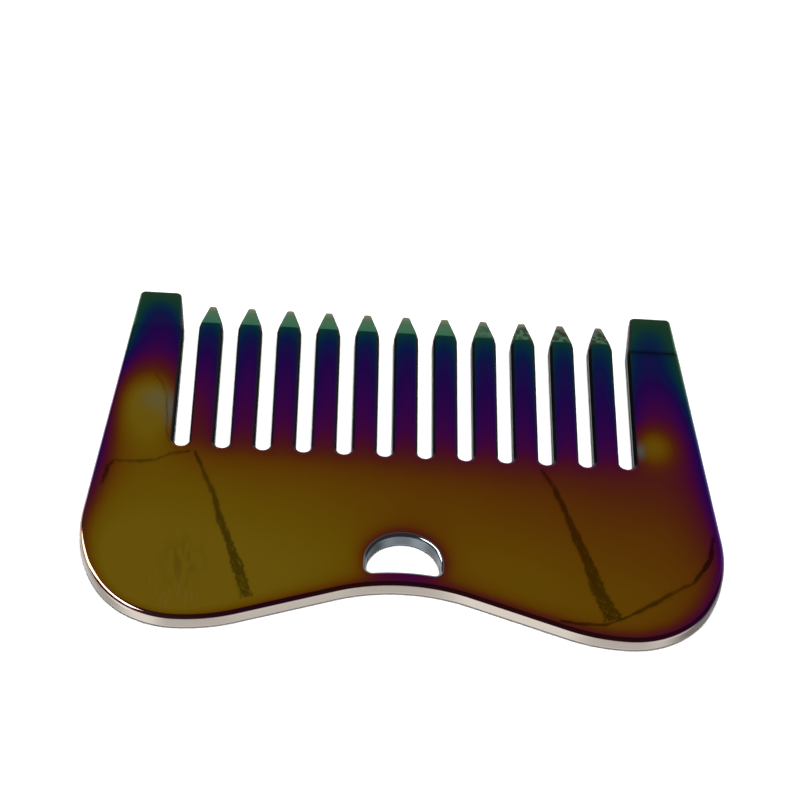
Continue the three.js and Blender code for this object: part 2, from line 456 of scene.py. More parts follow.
@dataclass
class CombPlate:
    """The comb's body: plan, thickness, edge rounding and facets, in millimetres.

    The fields that end in fade are the two places between which a share goes from 0 to 1.
    """

    plan: CombPlan
    rounding: float = 0.8
    slot_rounding: float = 0.64
    slot_variation: float = 0.22
    hole_rounding: float = 0.6
    back_share: float = 0.7
    tip_rounding: float = 0.27
    guard_tip_rounding: float = 0.5
    tooth_facet_length: float = 4.85
    tooth_tip_thickness: float = 0.7
    guard_tip_thickness: float = 1.4
    facet_softness: float = 0.16
    guard_softness: float = 0.45
    guard_fade: tuple = (1.5, 5.0)
    slot_fade: tuple = (-6.0, -3.0)
    tooth_tip_fade: tuple = (-0.9, 0.6)
    round_steps: int = 7
    grid_step: float = 0.8
    columns_per_tooth: int = 8
    rows_per_crease: int = 7
    rim_clearance: float = 0.15
    batches: int = 40
    merge_distance: float = 1e-6
    coverage_radius: float = 4.0
    rim_radius: float = 1.5
    least_wide_share: float = 0.25
    wide_share_growth: float = 0.45
    wide_share_fade: tuple = (-22.0, -2.0)
    strip_thinning: float = 0.06
    strip_spread: tuple = (7.0, 1.6)
    guard_facet_share: float = 0.3
    crease_width: float = 0.3
    left_crease_strength: float = 0.25
    worn_tip_length: float = 1.8
    # Where the painted edge shade sets in up the comb, and the normal's Y from which an outer edge gets it
    # too.
    shade_fade: tuple = (-14.0, -3.0)
    upward_normal: float = 0.5

    def __post_init__(self) -> None:
        """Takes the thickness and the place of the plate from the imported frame."""
        low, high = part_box("comb")
        self.low_z = low.z / MM
        self.thickness = (high.z - low.z) / MM
        self.offset_y = high.y / MM - self.plan.guard_length
        half = self.thickness / 2
        teeth_start = self.plan.tooth_length - self.tooth_facet_length
        guard_start = self.plan.guard_length - self.plan.guard_tip_length
        tooth_drop = (half - self.tooth_tip_thickness / 2) / self.tooth_facet_length
        guard_drop = (half - self.guard_tip_thickness / 2) / self.plan.guard_tip_length
        self.tooth_facet = Facet(teeth_start, tooth_drop, self.facet_softness)
        self.guard_facet = Facet(guard_start, guard_drop, self.guard_softness)

    def on_guard(self, points: np.ndarray) -> np.ndarray:
        """Whether (n, 2) places lie beyond the last slots' middles."""
        return np.abs(points[:, 0]) > self.plan.outer_slot_x

    def face_height(self, points: np.ndarray) -> np.ndarray:
        """Height of the front face above the plate's middle at (n, 2) places.

        Args:
            points: the places, in millimetres.

        Returns:
            (n,) heights: half the thickness less what the facets take off.
        """
        y = points[:, 1]
        lost = np.where(self.on_guard(points), self.guard_facet.depth(y), self.tooth_facet.depth(y))
        return self.thickness / 2 - lost

    def face_slope(self, points: np.ndarray) -> np.ndarray:
        """Fall of the front face per millimetre of Y at (n, 2) places."""
        y = points[:, 1]
        return np.where(self.on_guard(points), self.guard_facet.slope(y), self.tooth_facet.slope(y))

    def facet_share(self, points: np.ndarray) -> np.ndarray:
        """0 on the flat, 1 on a tooth's sloped tip and less on a guard's, at (n, 2) places."""
        guard_full = self.guard_facet.drop / self.guard_facet_share
        return self.face_slope(points) / np.where(self.on_guard(points), guard_full, self.tooth_facet.drop)

    def crease_share(self, points: np.ndarray) -> np.ndarray:
        """How near a guard's facet sets in, exp(-u^2 / 2) with u counted in crease widths; a dark shade line
        is painted there.

        Args:
            points: (n, 2) places, in millimetres.

        Returns:
            (n,) shares, weaker on the left guard.
        """
        strength = np.where(points[:, 0] > 0, 1.0, self.left_crease_strength)
        u = (points[:, 1] - self.guard_facet.start) / self.crease_width
        return self.on_guard(points) * strength * np.exp(-(u**2) / 2)

    def film_cover(self, points: np.ndarray, loops: list[Loop]) -> np.ndarray:
        """Share of metal round (n, 2) places.

        It blends a wide and a narrow field by w * wide + (1 - w) * narrow. The wide field's
        share w grows from the lobes to the slots, and a Gaussian oval is taken off on the strip
        under the hole.

        Args:
            points: the places, in millimetres.
            loops: the plan's edges.

        Returns:
            (n,) shares.
        """
        wide = Coverage.of(loops, self.coverage_radius).at(points)
        narrow = Coverage.of(loops, self.rim_radius).at(points)
        growth = smooth_share(points[:, 1], *self.wide_share_fade)
        wide_share = self.least_wide_share + self.wide_share_growth * growth
        strip_y = self.plan.waist_y + self.plan.strip_width / 2
        off_strip = (points - (0.0, strip_y)) / self.strip_spread
        thin_strip = self.strip_thinning * np.exp(-(off_strip**2).sum(axis=1) / 2)
        return wide_share * wide + (1 - wide_share) * narrow - thin_strip

    def tip_share(self, points: np.ndarray) -> np.ndarray:
        """How worn a tooth's point is, from 0 to 1, at (n, 2) places.

        Args:
            points: the places, in millimetres.

        Returns:
            (n,) shares that rise over the worn length.
        """
        length = self.plan.tooth_length
        worn = smooth_share(points[:, 1], length - self.worn_tip_length, length)
        return worn * (np.abs(points[:, 0]) < self.plan.outer_slot_x)

    def guard_side(self, loop: Loop) -> np.ndarray:
        """How far out on a guard or on the body's side a loop's points lie, from 0 to 1.

        Args:
            loop: the edge.

        Returns:
            (n,) shares.
        """
        near, far = self.guard_fade
        x = np.abs(loop.points[:, 0])
        return smooth_share(x, self.plan.guard_x + near, self.plan.guard_x + far)

    def local_rounding(self, loop: Loop) -> np.ndarray:
        """Edge radius along a loop.

        It is full round the grip and least at the tips. In the slots it is larger where the edge
        faces the comb's middle, by the edge's normal in X times its distance from the middle.

        Args:
            loop: the edge.

        Returns:
            (n,) radii, in millimetres.
        """
        y = loop.points[:, 1]
        in_slots = (1 - self.guard_side(loop)) * smooth_share(y, *self.slot_fade)
        facing = loop.normals[:, 0] * loop.points[:, 0] / self.plan.outer_slot_x
        slot_radius = self.slot_rounding - self.slot_variation * facing
        radius = self.rounding + (slot_radius - self.rounding) * in_slots
        if y.max() < 0:
            return np.full(len(y), self.hole_rounding)
        on_guard = self.on_guard(loop.points)
        before, after = self.tooth_tip_fade
        tooth_share = smooth_share(y, self.tooth_facet.start + before, self.tooth_facet.start + after)
        guard_share = smooth_share(y, self.guard_facet.start, self.plan.guard_length)
        smallest = np.where(on_guard, self.guard_tip_rounding, self.tip_rounding)
        return radius + (np.minimum(smallest, radius) - radius) * np.where(on_guard, guard_share, tooth_share)

    def painted_edge_shade(self, loop: Loop) -> np.ndarray:
        """Painted shade along an edge: how much of the slots' shade is painted into its colour.

        Args:
            loop: the edge.

        Returns:
            (n,) shares of painted shade: 0 along the grip and the outer sides, 1 inside the slots
            and where the edge looks up the comb at the tips.
        """
        buffed_side = self.guard_side(loop) * (loop.normals[:, 1] < self.upward_normal)
        return smooth_share(loop.points[:, 1], *self.shade_fade) * (1 - buffed_side)

    def edge_band(self, loop: Loop) -> tuple[np.ndarray, np.ndarray, np.ndarray]:
        """Carries the edge profile round a loop.

        With q the place on the loop at face height, a the step from q in to the face's rim and b
        the step from q down to the wall, a quarter round is q + a (1 - sin t) + b (1 - cos t) for
        t from 0 to 90 degrees. The back's quarter round is its mirror image at a smaller scale,
        and the wall joins the two. Each normal is the cross product of the two tangents.

        Args:
            loop: the edge to follow.

        Returns:
            Grids of places (n, k, 3), normals (n, k, 3) and profile turns (n, k), where the
            turn is 0 at either face and 1 on the wall.
        """
        radius = self.local_rounding(loop)
        rim = loop.points - loop.normals * radius[:, None]
        edge_z = self.face_height(loop.points)
        inward = np.concatenate([rim - loop.points, (self.face_height(rim) - edge_z)[:, None]], axis=1)
        downward = np.stack([np.zeros_like(radius), np.zeros_like(radius), -radius], axis=1)
        corner = np.concatenate([loop.points, edge_z[:, None]], axis=1)
        turn = np.linspace(0, math.pi / 2, self.round_steps + 1)[None, :, None]
        bent = inward[:, None] * (1 - np.sin(turn)) + downward[:, None] * (1 - np.cos(turn))
        places = corner[:, None] + bent
        under = corner[:, None] + bent * self.back_share

        tangent = np.stack([-loop.normals[:, 1], loop.normals[:, 0]], axis=1)
        climb = -self.face_slope(loop.points) * tangent[:, 1]
        ahead = np.concatenate([tangent, climb[:, None]], axis=1)[:, None]
        across = -inward[:, None] * np.cos(turn) + downward[:, None] * np.sin(turn)
        normals = np.cross(across, np.broadcast_to(ahead, places.shape))
        normals /= np.linalg.norm(normals, axis=2, keepdims=True)
        amount = np.broadcast_to(np.sin(turn[..., 0]), places.shape[:2])
        return (
            np.concatenate([places, under[:, ::-1] * FACE_FLIP], axis=1),
            np.concatenate([normals, normals[:, ::-1] * FACE_FLIP], axis=1),
            np.concatenate([amount, amount[:, ::-1]], axis=1),
        )

    def face_grid(self, loops: list[Loop], rims: list[np.ndarray]) -> np.ndarray:
        """Places inside a face, on rows and columns that line up with the teeth.

        Args:
            loops: the plan's edges.
            rims: (n, 2) rim of the face along each loop.

        Returns:
            (m, 2) places clear of every rim, with close rows where a facet sets in.
        """
        reach = self.plan.side_x + self.plan.side_radius
        spacing = self.plan.tooth_pitch / self.columns_per_tooth
        columns = math.ceil(reach / spacing)
        x = np.arange(-columns, columns + 1) * spacing
        y = np.arange(-self.plan.body_depth, self.plan.guard_length, self.grid_step)
        creases = [
            facet.start + facet.softness * np.linspace(-1, 1, self.rows_per_crease)
            for facet in (self.tooth_facet, self.guard_facet)
        ]
        y = np.concatenate([y, *creases])
        grid = np.stack(np.meshgrid(x, y), axis=-1).reshape(-1, 2)
        rim = np.concatenate(rims)
        normals = np.concatenate([loop.normals for loop in loops])
        keep = np.zeros(len(grid), bool)
        for part in np.array_split(np.arange(len(grid)), self.batches):
            offset = grid[part, None] - rim[None]
            distance = (offset**2).sum(axis=2)
            nearest = distance.argmin(axis=1)
            rows = np.arange(len(part))
            outward = (offset[rows, nearest] * normals[nearest]).sum(axis=1)
            keep[part] = (outward < 0) & (distance[rows, nearest] > self.rim_clearance**2)
        return grid[keep]

    def arrays(self) -> MeshArrays:
        """The whole plate: an edge band round each loop and a trimmed face on both sides.

        Returns:
            The mesh as arrays.
        """
        loops = [self.plan.outer(), self.plan.hole()]
        bands = [self.edge_band(loop) for loop in loops]
        steps = bands[0][0].shape[1]
        counts = [len(loop.points) for loop in loops]
        bases = np.cumsum([0] + [count * steps for count in counts])

        faces = []
        for count, base in zip(counts, bases):
            ring = np.arange(count)[:, None] * steps + base
            following = np.roll(ring, -1, axis=0)
            column = np.arange(steps - 1)[None]
            quads = [ring + column, ring + column + 1, following + column + 1, following + column]
            faces.append(np.stack(quads, axis=-1).reshape(-1, 4))

        rims = [band[0][:, 0, :2] for band in bands]
        rim_index = np.concatenate([np.arange(count) * steps + base for count, base in zip(counts, bases)])
        inner = self.face_grid(loops, rims)
        backs = [band[0][:, -1, :2] for band in bands]
        triangles = self.triangles(np.concatenate(rims + [inner]), counts)
        under_triangles = self.triangles(np.concatenate(backs + [inner]), counts)
        front_index = np.concatenate([rim_index, bases[-1] + np.arange(len(inner))])
        back_index = np.concatenate([rim_index + steps - 1, bases[-1] + len(inner) + np.arange(len(inner))])
        faces.append(front_index[triangles])
        faces.append(back_index[under_triangles[:, ::-1]])

        front = np.concatenate([inner, self.face_height(inner)[:, None]], axis=1)
        slope = self.face_slope(inner)
        upright = np.stack([np.zeros_like(slope), slope, np.ones_like(slope)], axis=1)
        upright /= np.linalg.norm(upright, axis=1, keepdims=True)
        # Painted shade along the outer edge; the hole's wall gets its painted shade from its own colour
        # instead.
        shades = [self.painted_edge_shade(loops[0]), np.zeros(counts[1])]
        bare = [np.zeros(counts[0]), np.ones(counts[1])]
        on_faces = [np.zeros(2 * len(inner))]
        return MeshArrays(
            np.concatenate([band[0].reshape(-1, 3) for band in bands] + [front, front * FACE_FLIP]),
            np.concatenate([band[1].reshape(-1, 3) for band in bands] + [upright, upright * FACE_FLIP]),
            np.concatenate([band[2].reshape(-1) for band in bands] + on_faces),
            np.concatenate([np.repeat(shade, steps) for shade in shades] + on_faces),
            np.concatenate([np.repeat(share, steps) for share in bare] + on_faces),
            faces,
        )

    def triangles(self, points: np.ndarray, counts: list[int]) -> np.ndarray:
        """Triangles of a face between its outer rim and its hole.

        A triangle of the whole network is kept if a line from its middle towards +X crosses the
        loops an odd number of times.

        Args:
            points: (n, 2) places, the loops' first and the inner ones after them.
            counts: how many points each loop has.

        Returns:
            (m, 3) indices into points, anticlockwise.
        """
        edges = []
        for count, base in zip(counts, np.cumsum([0] + counts)):
            index = base + np.arange(count)
            edges.append(np.stack([index, np.roll(index, -1)], axis=1))
        rings = np.concatenate(edges)
        hull = 0
        made = delaunay_2d_cdt(points.tolist(), rings.tolist(), [], hull, self.merge_distance, True)
        made_faces, first_points = made[2], made[3]
        corners = np.array([origin[0] for origin in first_points])[np.array(made_faces)]
        middle = points[corners].mean(axis=1)
        start, end = points[rings[:, 0]], points[rings[:, 1]]
        rise = np.where(end[:, 1] == start[:, 1], 1.0, end[:, 1] - start[:, 1])
        lean = (end[:, 0] - start[:, 0]) / rise
        inside = []
        for part in np.array_split(middle, self.batches):
            x, y = part[:, :1], part[:, 1:]
            crosses = (start[None, :, 1] > y) != (end[None, :, 1] > y)
            to_right = start[None, :, 0] + (y - start[None, :, 1]) * lean[None] > x
            inside.append((crosses & to_right).sum(axis=1) % 2 == 1)
        return corners[np.concatenate(inside)]

    def build(self) -> bpy.types.Object:
        """Makes the comb's object, with the fields that its finish reads.

        Returns:
            The object, at the origin, in metres, with the vertex attributes coverage (share of
            metal all round), edge_turn (0 on a face, 1 on the edge's wall), shade (how much
            painted shade the edge gets, most in the slots), bare (1 round the hole, which is cut
            after the coating), facet (1 on a sloped tip), tip (1 at a tooth's point) and crease
            (1 where a guard's facet sets in, where a shade line is painted).
        """
        arrays = self.arrays()
        plan_places = arrays.vertices[:, :2]
        shift = np.array([0.0, self.offset_y, self.low_z + self.thickness / 2])
        vertices = (arrays.vertices + shift) * MM

        corners = np.concatenate([face.reshape(-1) for face in arrays.faces])
        sizes = np.concatenate([np.full(len(face), face.shape[1]) for face in arrays.faces])
        mesh = bpy.data.meshes.new("comb_plate")
        mesh.vertices.add(len(vertices))
        mesh.vertices.foreach_set("co", vertices.ravel())
        mesh.loops.add(len(corners))
        mesh.loops.foreach_set("vertex_index", corners)
        mesh.polygons.add(len(sizes))
        mesh.polygons.foreach_set("loop_start", np.cumsum(sizes) - sizes)
        mesh.update(calc_edges=True)
        mesh.validate()
        mesh.shade_smooth()
        fields = {
            "coverage": self.film_cover(plan_places, [self.plan.outer(), self.plan.hole()]),
            "edge_turn": arrays.edge_turn,
            "shade": arrays.shade,
            "bare": arrays.bare,
            "facet": self.facet_share(plan_places),
            "tip": self.tip_share(plan_places),
            "crease": self.crease_share(plan_places),
        }
        for name, values in fields.items():
            mesh.attributes.new(name, "FLOAT", "POINT").data.foreach_set("value", values)
        mesh.normals_split_custom_set_from_vertices(arrays.normals.tolist())
        piece = bpy.data.objects.new("comb_plate", mesh)
        bpy.context.scene.collection.objects.link(piece)
        return piece


# Shaders


class Wire:
    """A number that varies over a surface: a shader socket with arithmetic."""

    def __init__(self, graph: "Graph", socket: bpy.types.NodeSocket) -> None:
        """Wraps one output socket of a graph."""
        self.graph = graph
        self.socket = socket

    def math(self, operation: str, *others: "Wire | float") -> "Wire":
        """Adds one Math node.

        Args:
            operation: the Math node's operation.
            others: the remaining operands, in order.

        Returns:
            The result.
        """
        inputs = dict(enumerate((self, *others)))
        return self.graph.node("ShaderNodeMath", {"operation": operation}, inputs).wire()

    __add__ = __radd__ = partialmethod(math, "ADD")
    __sub__ = partialmethod(math, "SUBTRACT")
    __mul__ = __rmul__ = partialmethod(math, "MULTIPLY")
    __truediv__ = partialmethod(math, "DIVIDE")
    __neg__ = partialmethod(math, "MULTIPLY", -1.0)

    def __rsub__(self, other: float) -> "Wire":
        """Difference from a number."""
        return -self + other

    def step(self, low: float, high: float) -> "Wire":
        """A smooth rise from 0 at low to 1 at high.

        Args:
            low: value at which it starts.
            high: value at which it ends.

        Returns:
            The share u^2 (3 - 2u), with u the way from low to high.
        """
        settings = {"interpolation_type": "SMOOTHSTEP"}
        inputs = {"Value": self, "From Min": low, "From Max": high}
        return self.graph.node("ShaderNodeMapRange", settings, inputs).wire("Result")


class Made:
    """A node that has been added, for reading its outputs."""

    def __init__(self, graph: "Graph", node: bpy.types.Node) -> None:
        """Keeps the node and the graph that it is in."""
        self.graph = graph
        self.node = node

    def wire(self, output: str | int = 0) -> Wire:
        """One of the node's outputs."""
        return Wire(self.graph, self.node.outputs[output])


class Graph:
    """A node tree that is filled by code."""

    def __init__(self, tree: bpy.types.NodeTree) -> None:
        """Empties the tree."""
        self.tree = tree
        tree.nodes.clear()

    @classmethod
    def of_material(cls, name: str) -> "tuple[bpy.types.Material, Graph]":
        """A new material and the graph that fills it.

        Args:
            name: the material's name.

        Returns:
            The material and its empty graph.
        """
        material = bpy.data.materials.new(name)
        material.use_nodes = True
        return material, cls(material.node_tree)

    def node(self, kind: str, settings: dict[str, Any] | None = None, inputs: dict | None = None) -> Made:
        """Adds a node.

        Args:
            kind: the node's type.
            settings: its own properties, and under "stops" a colour ramp's (place, colour) pairs.
            inputs: socket name or number to a value or a Wire.

        Returns:
            The node.
        """
        node = self.tree.nodes.new(kind)
        for name, value in (settings or {}).items():
            if name == "stops":
                self.fill_ramp(node.color_ramp, value)
            else:
                setattr(node, name, value)
        for name, value in (inputs or {}).items():
            if isinstance(value, Wire):
                self.tree.links.new(value.socket, node.inputs[name])
            else:
                node.inputs[name].default_value = value
        return Made(self, node)

    @staticmethod
    def fill_ramp(ramp: bpy.types.ColorRamp, stops: list[tuple[float, tuple]]) -> None:
        """Gives a colour ramp its stops.

        Args:
            ramp: the ramp to fill.
            stops: (place, colour) pairs from low to high.
        """
        while len(ramp.elements) > 1:
            ramp.elements.remove(ramp.elements[-1])
        ramp.elements[0].position = stops[0][0]
        ramp.elements[0].color = (*stops[0][1], 1.0)
        for place, colour in stops[1:]:
            ramp.elements.new(place).color = (*colour, 1.0)

    def mix_colour(self, factor: Wire, first: Wire | tuple, second: Wire | tuple) -> Wire:
        """Blends two colours.

        Args:
            factor: 0 for the first, 1 for the second.
            first: a colour or a Wire that carries one.
            second: a colour or a Wire that carries one.

        Returns:
            The blended colour.
        """
        first_socket, second_socket, result_socket = 6, 7, 2
        inputs = {0: factor, first_socket: self.solid(first), second_socket: self.solid(second)}
        return self.node("ShaderNodeMix", {"data_type": "RGBA"}, inputs).wire(result_socket)

    @staticmethod
    def solid(colour: Wire | tuple) -> Wire | tuple:
        """A colour with its fourth number, or a Wire as it is."""
        return colour if isinstance(colour, Wire) else (*colour, 1.0)

    def finish_surface(self, inputs: dict) -> None:
        """Ends a material with one Principled shader."""
        shader = self.node("ShaderNodeBsdfPrincipled", None, inputs)
        self.node("ShaderNodeOutputMaterial", None, {"Surface": shader.wire()})


@dataclass(frozen=True)
class Patch:
    """An oval place where the finish differs.

    Attributes:
        centre: its middle (x, y), in metres.
        spread: distances along X and Y at which it has faded to 0.6, in metres.
        depth: its strength in its middle, below zero for the opposite effect.
    """

    centre: tuple[float, float]
    spread: tuple[float, float]
    depth: float

    def reach(self, x: Wire, y: Wire) -> Wire:
        """How near the middle a place is, exp(-(u^2 + v^2) / 2) with u and v in spreads.

        Args:
            x: the place's X, in metres.
            y: its Y.

        Returns:
            1 in the middle and 0 far away.
        """
        u = (x - self.centre[0]) / self.spread[0]
        v = (y - self.centre[1]) / self.spread[1]
        return ((u * u + v * v) * -0.5).math("EXPONENT")

    def strength(self, x: Wire, y: Wire) -> Wire:
        """The patch's effect, its reach times its depth."""
        return self.reach(x, y) * self.depth


@dataclass(frozen=True)
class Grain:
    """Noise on the metal.

    Attributes:
        scale: cycles per metre, or 1 where stretch gives them.
        detail: how many finer layers it has.
        rise: the two noise values between which it grows from 0 to 1.
        roughness: how strong each finer layer is.
        stretch: cycles per metre along X, Y and Z, or nothing.
        turn: angle about Z by which the stretched place is turned, in radians.
    """

    scale: float
    detail: float
    rise: tuple = (0.0, 1.0)
    roughness: float = 0.5
    stretch: tuple = ()
    turn: float = 0.0

    def plain(self, graph: Graph, place: Wire) -> Wire:
        """The noise itself, between 0 and 1.

        Args:
            graph: the graph to add it to.
            place: the place on the metal, in metres.

        Returns:
            The noise.
        """
        if self.stretch:
            inputs = {"Vector": place, "Rotation": (0.0, 0.0, self.turn), "Scale": self.stretch}
            place = graph.node("ShaderNodeMapping", None, inputs).wire()
        inputs = {"Vector": place, "Scale": self.scale, "Detail": self.detail, "Roughness": self.roughness}
        return graph.node("ShaderNodeTexNoise", None, inputs).wire("Fac")

    def share(self, graph: Graph, place: Wire) -> Wire:
        """The noise stretched to its rise."""
        return self.plain(graph, place).step(*self.rise)


@dataclass(frozen=True)
class RainbowCoating:
    """A hard interference coating on polished metal.

    The film number runs from 0, thick film and olive gold, to 1, thin film and green. It is
    base - by_coverage * coverage + by_x * X + by_y * Y + by_twist * X * Y, with X and Y in
    metres. Cloudy noise, the slots' edges, the sloped tips and the left lobe's edge raise it, and
    the grip's edge and each patch, by its depth, lower it. Fields that end in fade are the two values between
    which a share goes from 0 to 1; those named turn are on the edge profile, 0 at a face.
    """

    base: float = 1.041
    by_coverage: float = 0.80
    by_x: float = 2.0
    by_y: float = 8.0
    by_twist: float = -50.0
    stops: tuple = (
        (0.00, (0.50, 0.31, 0.013)),
        (0.08, (0.45, 0.25, 0.006)),
        (0.15, (0.41, 0.18, 0.004)),
        (0.22, (0.36, 0.115, 0.005)),
        (0.29, (0.29, 0.058, 0.014)),
        (0.36, (0.25, 0.030, 0.035)),
        (0.43, (0.23, 0.014, 0.07)),
        (0.50, (0.17, 0.006, 0.15)),
        (0.57, (0.105, 0.004, 0.21)),
        (0.64, (0.046, 0.006, 0.22)),
        (0.71, (0.010, 0.028, 0.20)),
        (0.78, (0.006, 0.085, 0.145)),
        (0.85, (0.018, 0.13, 0.080)),
        (0.92, (0.030, 0.14, 0.070)),
        (1.00, (0.050, 0.145, 0.072)),
    )
    clouds: Grain = Grain(45.0, 3.0)
    by_cloud: float = 0.05
    by_slot_edge: float = 0.09
    by_facet: float = 0.06
    by_grip_edge: float = 0.07
    grip_fade_y: tuple = (-0.020, -0.008)
    by_lobe_edge: float = 0.24
    lobe_fade_down: tuple = (0.024, 0.032)
    lobe_fade_left: tuple = (-0.005, 0.015)
    lobe_turn_fade: tuple = (0.0, 0.4)
    patches: tuple = (
        Patch((-0.0402, 0.0095), (0.0040, 0.0046), 0.40),
        Patch((-0.0400, 0.0025), (0.0040, 0.0040), 0.12),
        Patch((0.0386, 0.0050), (0.0027, 0.0029), 0.36),
        Patch((-0.0400, 0.0225), (0.0050, 0.0040), -0.09),
        Patch((0.0400, 0.0215), (0.0045, 0.0050), -0.10),
        Patch((-0.0476, -0.0020), (0.0019, 0.0110), -0.14),
    )
    glints: tuple = (
        Patch((-0.0388, 0.0094), (0.0014, 0.0016), 0.22),
        Patch((-0.0364, 0.0074), (0.0007, 0.0022), 0.40),
        Patch((0.0366, 0.0038), (0.0005, 0.0011), 0.50),
    )
    glint_colour: tuple = (0.24, 0.46, 0.48)
    smudge: Patch = Patch((-0.0328, -0.0236), (0.0020, 0.0030), 0.25)
    rubbing: Grain = Grain(1.0, 2.0, (0.42, 0.62), stretch=(1100.0, 300.0, 1.0), turn=-0.6)
    # Painted shade: a dark line along the crease where a guard's facet sets in.
    crease_shade_depth: float = 0.8
    crease_shade_colour: tuple = (0.004, 0.008, 0.022)
    lobe_wear: Patch = Patch((-0.0440, -0.0260), (0.0075, 0.0100), 0.45)
    least_wear: float = 0.05
    wear_turn_fade: tuple = (0.1, 0.6)
    worn_colour: tuple = (0.75, 0.65, 0.50)
    bare_turn_fade: tuple = (0.02, 0.3)
    bare_colour: tuple = (0.34, 0.38, 0.41)
    wall_colour: tuple = (0.33, 0.295, 0.26)
    # Painted shade: the slots' walls are darkened to stand for the shade between the teeth.
    slot_shade_colour: tuple = (0.017, 0.021, 0.024)
    # Painted shade: the hole's bare wall is darker than its bare rim, for the shade inside the hole.
    hole_shade_colour: tuple = (0.11, 0.125, 0.14)
    grip_wall_turn_fade: tuple = (0.86, 0.95)
    slot_wall_turn_fade: tuple = (0.12, 0.45)
    low_wall_turn_fade: tuple = (0.02, 0.10)
    low_wall_height: float = 0.0010
    low_wall_softness: float = 0.7
    # Darker blotches on the sloped tips, more of them towards the right.
    blotches: Grain = Grain(900.0, 3.0, (0.42, 0.54))
    blotch_fade_x: tuple = (0.004, 0.022)
    blotch_growth: float = 0.9
    least_blotch: float = 0.08
    blotch_facet_fade: tuple = (0.5, 0.9)
    dark_blot_colour: tuple = (0.02, 0.022, 0.012)
    tip_depth: float = 0.7
    tip_colour: tuple = (0.30, 0.22, 0.16)
    scuffed: Patch = Patch((-0.0350, -0.0300), (0.0030, 0.0026), 0.14)
    strokes: Grain = Grain(1.0, 2.0, (0.60, 0.68), stretch=(2600.0, 260.0, 1.0), turn=0.5)
    stroke_turn_fade: tuple = (0.0, 0.1)
    haze: Grain = Grain(140.0, 4.0, (0.35, 0.75), 0.6)
    least_roughness: float = 0.07
    haze_roughness: float = 0.04
    wall_roughness: float = 0.14
    ripple: Grain = Grain(90.0, 1.0)
    hairlines: Grain = Grain(1.0, 2.0, stretch=(2600.0, 60.0, 60.0), turn=0.4)
    hairline_height: float = 0.02
    bump_strength: float = 0.12
    bump_distance: float = 0.00012

    def film(self, graph: Graph, place: Wire, x: Wire, y: Wire, edge: dict[str, Wire]) -> Wire:
        """The film number, as the class says.

        Args:
            graph: the material's graph.
            place: the place on the comb, in metres.
            x: its X.
            y: its Y.
            edge: the mesh's fields by name.

        Returns:
            The number, which the colour ramp holds between 0 and 1.
        """
        turn = edge["edge_turn"]
        film = self.base - edge["coverage"] * self.by_coverage
        film = film + x * self.by_x + y * self.by_y + x * y * self.by_twist
        film = film + (self.clouds.plain(graph, place) - 0.5) * self.by_cloud
        film = film + turn * edge["shade"] * self.by_slot_edge + edge["facet"] * self.by_facet
        film = film - turn * (1.0 - y.step(*self.grip_fade_y)) * self.by_grip_edge
        left_lobe = (-y).step(*self.lobe_fade_down) * (-x).step(*self.lobe_fade_left)
        film = film + turn.step(*self.lobe_turn_fade) * left_lobe * self.by_lobe_edge
        for patch in self.patches:
            film = film - patch.strength(x, y)
        return film

    def walls(self, height: Wire, turn: Wire, shade: Wire) -> Wire:
        """Where the edge is wall: far down the profile by the grip, sooner in the slots.

        Args:
            height: Z, in metres.
            turn: 0 at a face and 1 on the upright wall.
            shade: painted shade, 0 along the grip and 1 in the slots.

        Returns:
            The larger of turn's rise, blended by shade, and of the grip's lowest part.
        """
        low = 1.0 - height.step(self.low_wall_height * self.low_wall_softness, self.low_wall_height)
        grip = 1.0 - shade
        walls = turn.step(*self.grip_wall_turn_fade) * grip + turn.step(*self.slot_wall_turn_fade) * shade
        return walls.math("MAXIMUM", low * turn.step(*self.low_wall_turn_fade) * grip)

    def material(self) -> bpy.types.Material:
        """Builds the material.

        The colour starts as the film's and each mark is mixed over it in turn. Roughness is
        least_roughness plus haze and walls times their amounts, and the bump is a ripple with
        faint hairlines.

        Returns:
            The material.
        """
        material, graph = Graph.of_material("rainbow_coating")
        place = graph.node("ShaderNodeTexCoord").wire("Object")
        axes = graph.node("ShaderNodeSeparateXYZ", None, {0: place})
        x, y = axes.wire("X"), axes.wire("Y")
        edge = {
            name: graph.node("ShaderNodeAttribute", {"attribute_name": name}).wire("Fac")
            for name in ("coverage", "edge_turn", "shade", "bare", "facet", "tip", "crease")
        }
        turn, bare = edge["edge_turn"], edge["bare"]
        film = self.film(graph, place, x, y, edge)
        walls = self.walls(axes.wire("Z"), turn, edge["shade"])
